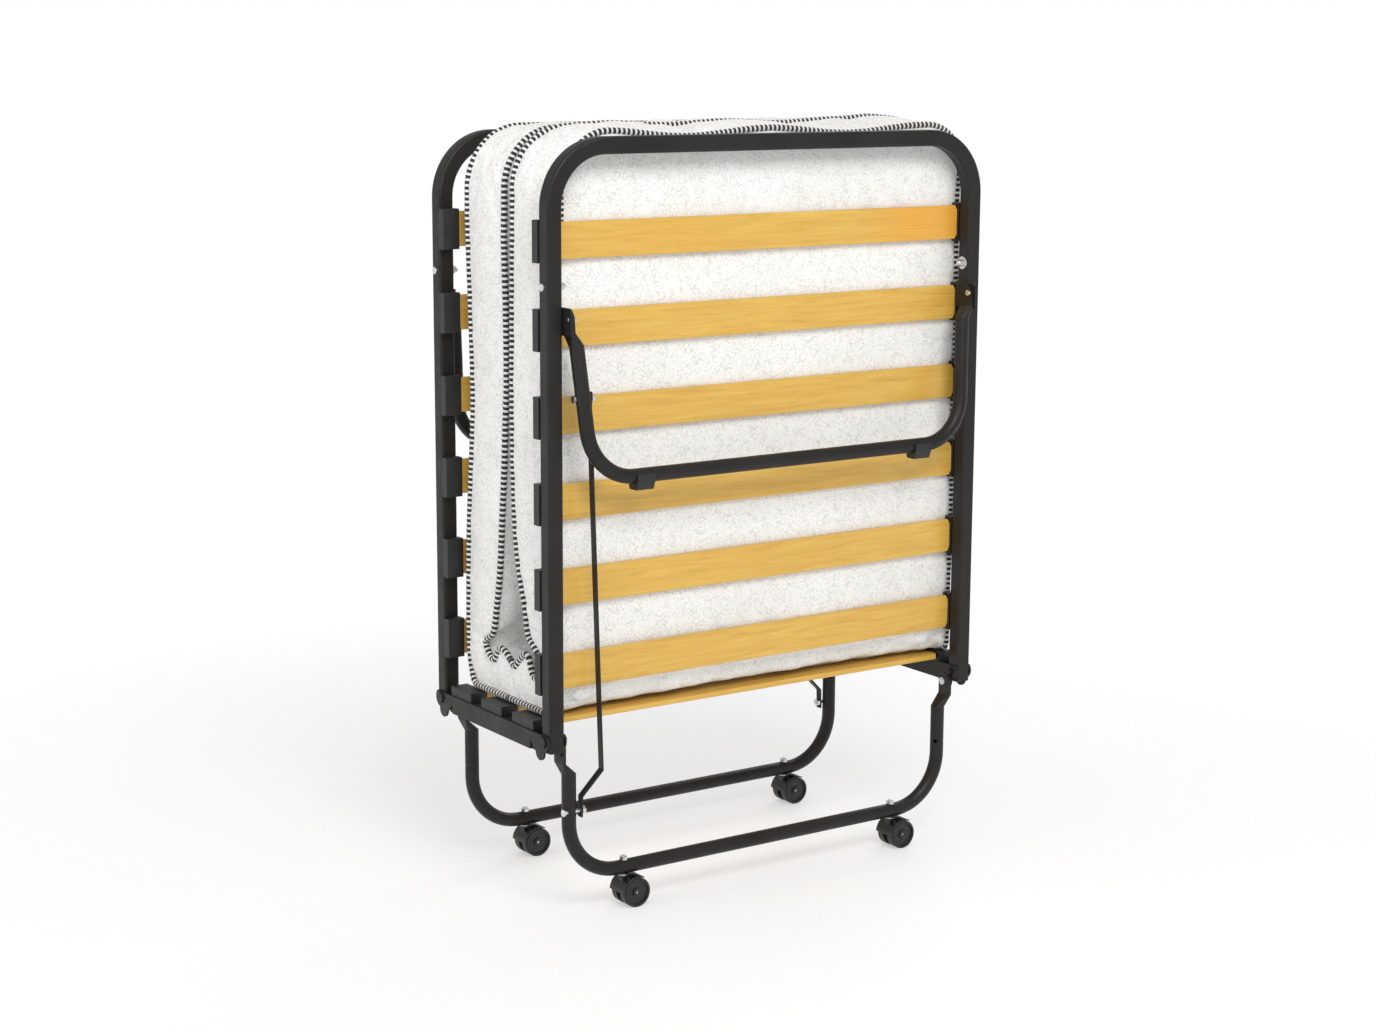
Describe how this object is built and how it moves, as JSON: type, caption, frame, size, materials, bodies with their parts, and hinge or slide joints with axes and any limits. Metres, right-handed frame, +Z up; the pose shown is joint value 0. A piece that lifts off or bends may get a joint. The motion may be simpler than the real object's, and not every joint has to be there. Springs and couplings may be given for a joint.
{
  "type": "folding cot",
  "caption": "Rollaway folding guest bed on casters: black tube frame with sprung birch slats, folded upright around a thin white mattress with striped piping.",
  "frame": {"origin": "on the floor, below the middle of the folded bed", "axes": "+X across the bed, to the right seen from the foot frame; +Y from the foot frame to the head frame, through the folded thickness; +Z up"},
  "size_m": [0.813, 0.4226, 1.17],
  "materials": {
    "frame_paint": "charcoal powder coat, satin",
    "cap_plastic": "black moulded plastic",
    "birch": "clear-lacquered birch plywood",
    "zinc": "bright zinc plate",
    "ticking": "white knitted mattress ticking, quilted",
    "caster_plastic": "black nylon",
    "wheel_plastic": "black nylon, lightly worn"
  },
  "bodies": {
    "center_section": {"center_rail_left": "frame_paint", "center_rail_right": "frame_paint", "center_leg_foot": "frame_paint", "center_leg_head": "frame_paint", "center_leg_bolts": "zinc", "frame_hinge_bolts": "frame_paint", "link_pivot_bolts": "zinc", "caster_stems": "zinc", "center_slat_foot": "birch", "center_slat_middle": "birch", "center_slat_head": "birch", "center_slat_caps": "cap_plastic", "mattress_middle": "ticking"},
    "foot_frame": {"foot_rail_left": "frame_paint", "foot_rail_right": "frame_paint", "foot_end_tube": "frame_paint", "foot_joint_bolts": "zinc", "foot_slat_1": "birch", "foot_slat_2": "birch", "foot_slat_3": "birch", "foot_slat_4": "birch", "foot_slat_5": "birch", "foot_slat_6": "birch", "foot_slat_caps": "cap_plastic", "foot_leg_rivets": "zinc", "mattress_foot_half": "ticking"},
    "foot_end_leg": {"foot_leg": "frame_paint", "foot_leg_feet": "cap_plastic", "foot_link_bolt": "zinc"},
    "foot_link": {"foot_link_rod": "frame_paint"},
    "head_frame": {"head_rail_left": "frame_paint", "head_rail_right": "frame_paint", "head_end_tube": "frame_paint", "head_joint_bolts": "zinc", "head_slat_1": "birch", "head_slat_2": "birch", "head_slat_3": "birch", "head_slat_4": "birch", "head_slat_5": "birch", "head_slat_6": "birch", "head_slat_caps": "cap_plastic", "head_leg_rivets": "zinc", "mattress_head_half": "ticking"},
    "head_end_leg": {"head_leg": "frame_paint", "head_leg_feet": "cap_plastic", "head_link_bolt": "zinc"},
    "head_link": {"head_link_rod": "frame_paint"},
    "caster_foot_left": {"caster_fork_foot_left": "caster_plastic", "caster_axle_foot_left": "zinc"},
    "wheels_foot_left": {"caster_wheels_foot_left": "wheel_plastic"},
    "caster_foot_right": {"caster_fork_foot_right": "caster_plastic", "caster_axle_foot_right": "zinc"},
    "wheels_foot_right": {"caster_wheels_foot_right": "wheel_plastic"},
    "caster_head_left": {"caster_fork_head_left": "caster_plastic", "caster_axle_head_left": "zinc"},
    "wheels_head_left": {"caster_wheels_head_left": "wheel_plastic"},
    "caster_head_right": {"caster_fork_head_right": "caster_plastic", "caster_axle_head_right": "zinc"},
    "wheels_head_right": {"caster_wheels_head_right": "wheel_plastic"}
  },
  "joints": [
    {"name": "foot_fold", "type": "hinge", "parent": "center_section", "child": "foot_frame", "pos_m": [0, -0.155, 0.281], "axis": [1, 0, 0], "range_deg": [0, 90]},
    {"name": "foot_leg_fold", "type": "hinge", "parent": "foot_frame", "child": "foot_end_leg", "pos_m": [0, -0.184, 0.903], "axis": [-1, 0, 0], "range_deg": [0, 90]},
    {"name": "foot_link_swing", "type": "hinge", "parent": "center_section", "child": "foot_link", "pos_m": [0, -0.152, 0.166], "axis": [1, 0, 0], "range_deg": [0, 90]},
    {"name": "head_fold", "type": "hinge", "parent": "center_section", "child": "head_frame", "pos_m": [0, 0.155, 0.281], "axis": [-1, 0, 0], "range_deg": [0, 90]},
    {"name": "head_leg_fold", "type": "hinge", "parent": "head_frame", "child": "head_end_leg", "pos_m": [0, 0.184, 0.903], "axis": [1, 0, 0], "range_deg": [0, 90]},
    {"name": "head_link_swing", "type": "hinge", "parent": "center_section", "child": "head_link", "pos_m": [0, 0.152, 0.166], "axis": [-1, 0, 0], "range_deg": [0, 90]},
    {"name": "caster_swivel_foot_left", "type": "hinge", "parent": "center_section", "child": "caster_foot_left", "pos_m": [-0.258, -0.146, 0.04], "axis": [0, 0, 1], "continuous": true},
    {"name": "wheel_roll_foot_left", "type": "hinge", "parent": "caster_foot_left", "child": "wheels_foot_left", "pos_m": [-0.244, -0.146, 0.023], "axis": [0, 1, 0], "continuous": true},
    {"name": "caster_swivel_foot_right", "type": "hinge", "parent": "center_section", "child": "caster_foot_right", "pos_m": [0.258, -0.146, 0.04], "axis": [0, 0, 1], "continuous": true},
    {"name": "wheel_roll_foot_right", "type": "hinge", "parent": "caster_foot_right", "child": "wheels_foot_right", "pos_m": [0.272, -0.146, 0.023], "axis": [0, 1, 0], "continuous": true},
    {"name": "caster_swivel_head_left", "type": "hinge", "parent": "center_section", "child": "caster_head_left", "pos_m": [-0.258, 0.146, 0.04], "axis": [0, 0, 1], "continuous": true},
    {"name": "wheel_roll_head_left", "type": "hinge", "parent": "caster_head_left", "child": "wheels_head_left", "pos_m": [-0.244, 0.146, 0.023], "axis": [0, 1, 0], "continuous": true},
    {"name": "caster_swivel_head_right", "type": "hinge", "parent": "center_section", "child": "caster_head_right", "pos_m": [0.258, 0.146, 0.04], "axis": [0, 0, 1], "continuous": true},
    {"name": "wheel_roll_head_right", "type": "hinge", "parent": "caster_head_right", "child": "wheels_head_right", "pos_m": [0.272, 0.146, 0.023], "axis": [0, 1, 0], "continuous": true}
  ],
  "couplings": [
    {"joint": "foot_leg_fold", "follows": "foot_fold", "ratio": 1},
    {"joint": "foot_link_swing", "follows": "foot_fold", "ratio": 1},
    {"joint": "head_leg_fold", "follows": "head_fold", "ratio": 1},
    {"joint": "head_link_swing", "follows": "head_fold", "ratio": 1}
  ]
}
